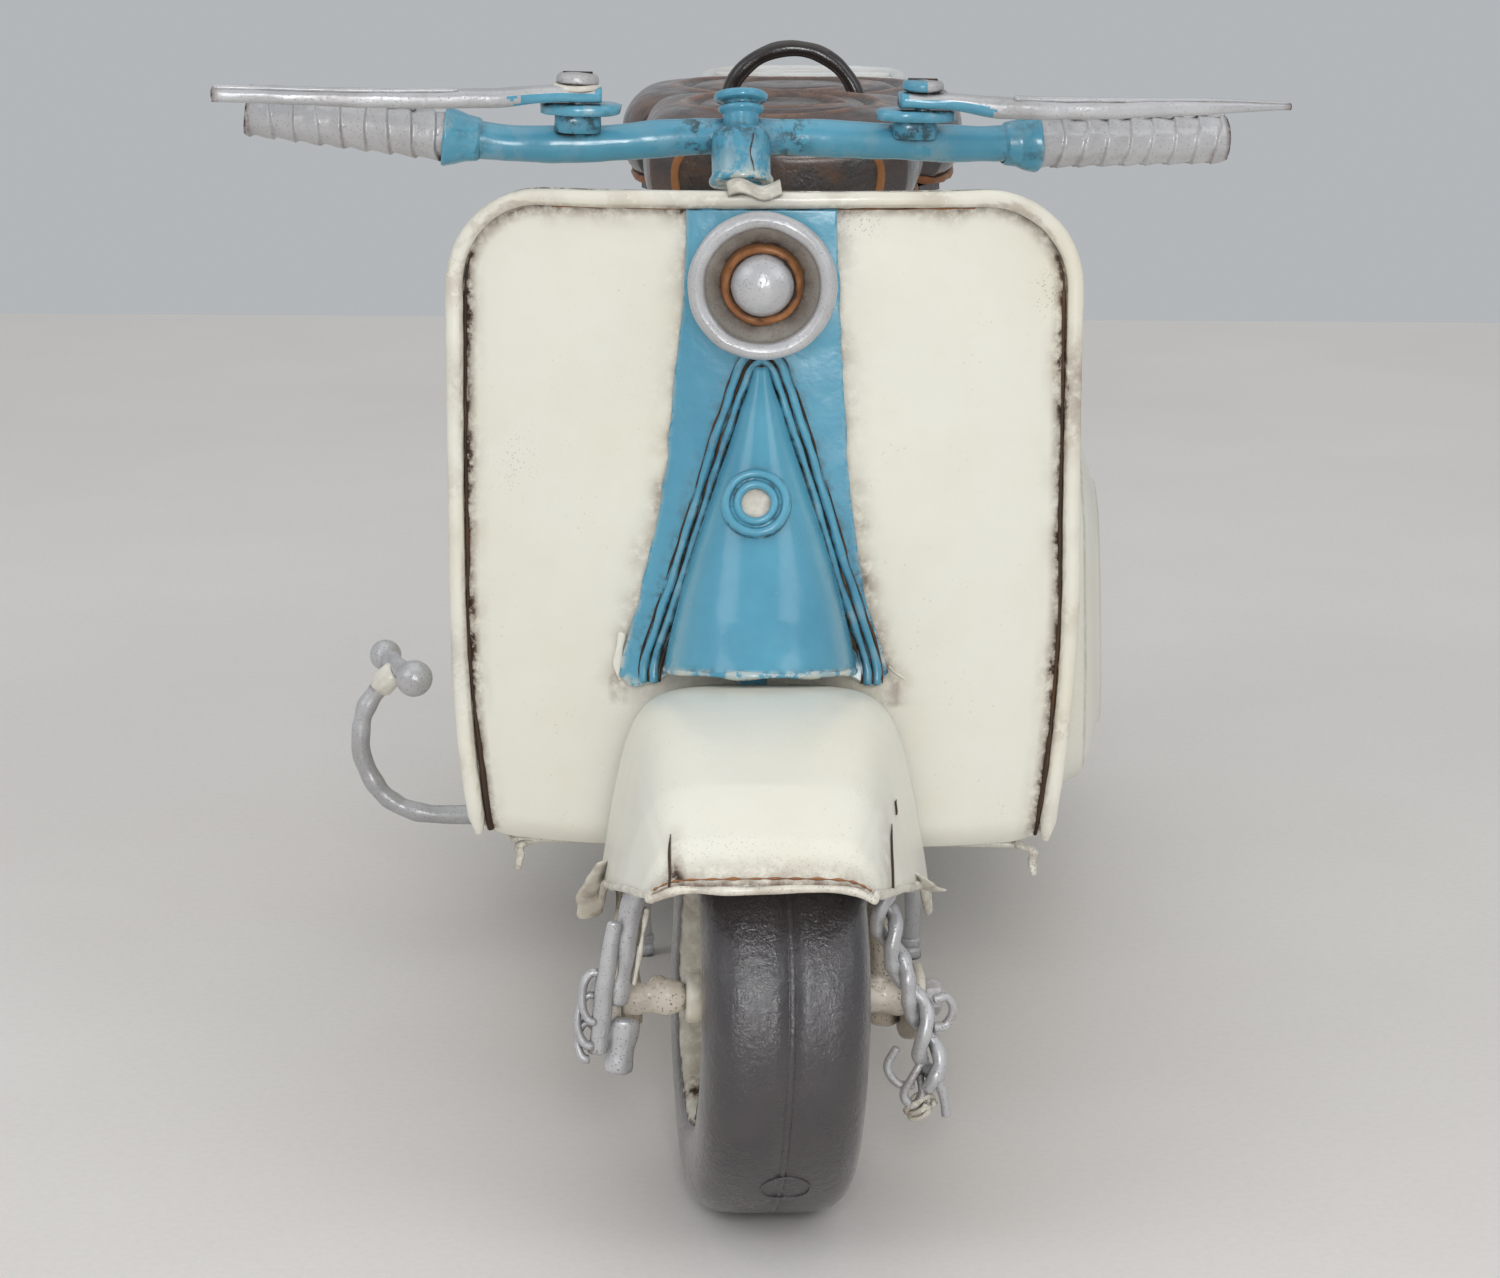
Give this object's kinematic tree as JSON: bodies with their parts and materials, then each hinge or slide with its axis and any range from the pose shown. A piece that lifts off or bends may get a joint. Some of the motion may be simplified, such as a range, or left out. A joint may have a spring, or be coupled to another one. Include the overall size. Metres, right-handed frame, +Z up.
{
  "type": "toy motor scooter",
  "caption": "Painted tinplate model of a 1950s motor scooter with leg shield, faired front wheel, twin saddles, turning front fork, rolling wheels, levers, kick-start and stand.",
  "frame": {"origin": "on the ground, under the middle of the bounding box; the scooter's middle plane is X = 0", "axes": "+Z up, the scooter faces -Y, +X towards the rider's left"},
  "size_m": [0.1384, 0.264, 0.1356],
  "materials": {
    "cream_paint": "gloss",
    "blue_paint": "gloss",
    "silver_paint": "satin",
    "speckled_paint": "matte",
    "tyre_rubber": "satin",
    "seat_paint": "gloss",
    "dark_paint": "satin",
    "black_paint": "gloss",
    "white_paint": "gloss",
    "rusty_ring": "matte",
    "red_lens": "gloss"
  },
  "bodies": {
    "chassis": {"leg_shield": "cream_paint", "shield_bead": "cream_paint", "front_fender": "cream_paint", "floorboard": "cream_paint", "rear_body": "cream_paint", "side_cover_left": "cream_paint", "side_cover_right": "cream_paint", "front_cover": "blue_paint", "fork_cover": "blue_paint", "arch_piping": "blue_paint", "horn_ring": "blue_paint", "head_tube": "blue_paint", "headlight_rim": "silver_paint", "headlight_bowl": "silver_paint", "headlight_lens": "silver_paint", "tail_lamp_bezel": "silver_paint", "headlight_bezel": "rusty_ring", "rear_axle": "silver_paint", "driver_seat": "seat_paint", "pillion_seat": "seat_paint", "driver_seat_pan": "dark_paint", "pillion_pan": "dark_paint", "seat_springs": "dark_paint", "pillion_struts": "dark_paint", "frame_spine": "dark_paint", "rear_brackets": "dark_paint", "engine_case": "dark_paint", "kick_boss": "dark_paint", "stand_brackets": "dark_paint", "grab_handle": "black_paint", "rear_rack": "white_paint", "tail_lamp_lens": "red_lens"},
    "steering": {"fork_crown": "blue_paint", "fork_stem": "blue_paint", "fork_legs": "speckled_paint", "fork_links": "speckled_paint", "front_axle": "speckled_paint", "axle_nuts": "silver_paint", "fork_strut": "silver_paint", "twisted_strand": "silver_paint", "handlebar": "blue_paint", "column_collar": "blue_paint", "column_cap": "blue_paint", "grip_left": "silver_paint", "grip_right": "silver_paint", "grip_ferrules": "blue_paint", "lever_brackets": "blue_paint", "lever_bolts": "silver_paint"},
    "front_wheel": {"front_tyre": "tyre_rubber", "front_rims": "cream_paint", "front_hub": "silver_paint"},
    "rear_wheel": {"rear_tyre": "tyre_rubber", "rear_rims": "cream_paint", "rear_hub": "silver_paint"},
    "clutch_lever_body": {"clutch_lever": "silver_paint"},
    "brake_lever_body": {"brake_lever": "silver_paint"},
    "kick_start": {"kick_arm": "silver_paint", "kick_pedal": "silver_paint"},
    "centre_stand": {"stand_legs": "silver_paint", "stand_rod": "silver_paint"}
  },
  "joints": [
    {"name": "steering_turn", "type": "hinge", "parent": "chassis", "child": "steering", "pos_m": [0, -0.0877, 0.02659], "axis": [-0.0233, 0.3537, 0.9351], "range_deg": [-16.5, 7]},
    {"name": "front_wheel_spin", "type": "hinge", "parent": "steering", "child": "front_wheel", "pos_m": [0.00205, -0.10155, 0.02658], "axis": [0.9888, 0.1463, -0.0307], "continuous": true},
    {"name": "rear_wheel_spin", "type": "hinge", "parent": "chassis", "child": "rear_wheel", "pos_m": [0, 0.0763, 0.0265], "axis": [1, 0, 0], "continuous": true},
    {"name": "clutch_lever_pivot", "type": "hinge", "parent": "steering", "child": "clutch_lever_body", "pos_m": [0.02015, -0.04898, 0.13037], "axis": [0.0305, 0.0041, 0.9995], "range_deg": [-10, 8]},
    {"name": "brake_lever_pivot", "type": "hinge", "parent": "steering", "child": "brake_lever_body", "pos_m": [-0.02414, -0.05553, 0.13174], "axis": [0.0305, 0.0041, 0.9995], "range_deg": [-8, 10]},
    {"name": "kick_start_pivot", "type": "hinge", "parent": "chassis", "child": "kick_start", "pos_m": [-0.045, 0.0093, 0.0182], "axis": [1, 0, 0], "range_deg": [-65, 8]},
    {"name": "stand_fold", "type": "hinge", "parent": "chassis", "child": "centre_stand", "pos_m": [0, -0.0057, 0.028], "axis": [1, 0, 0], "range_deg": [0, 70]}
  ]
}
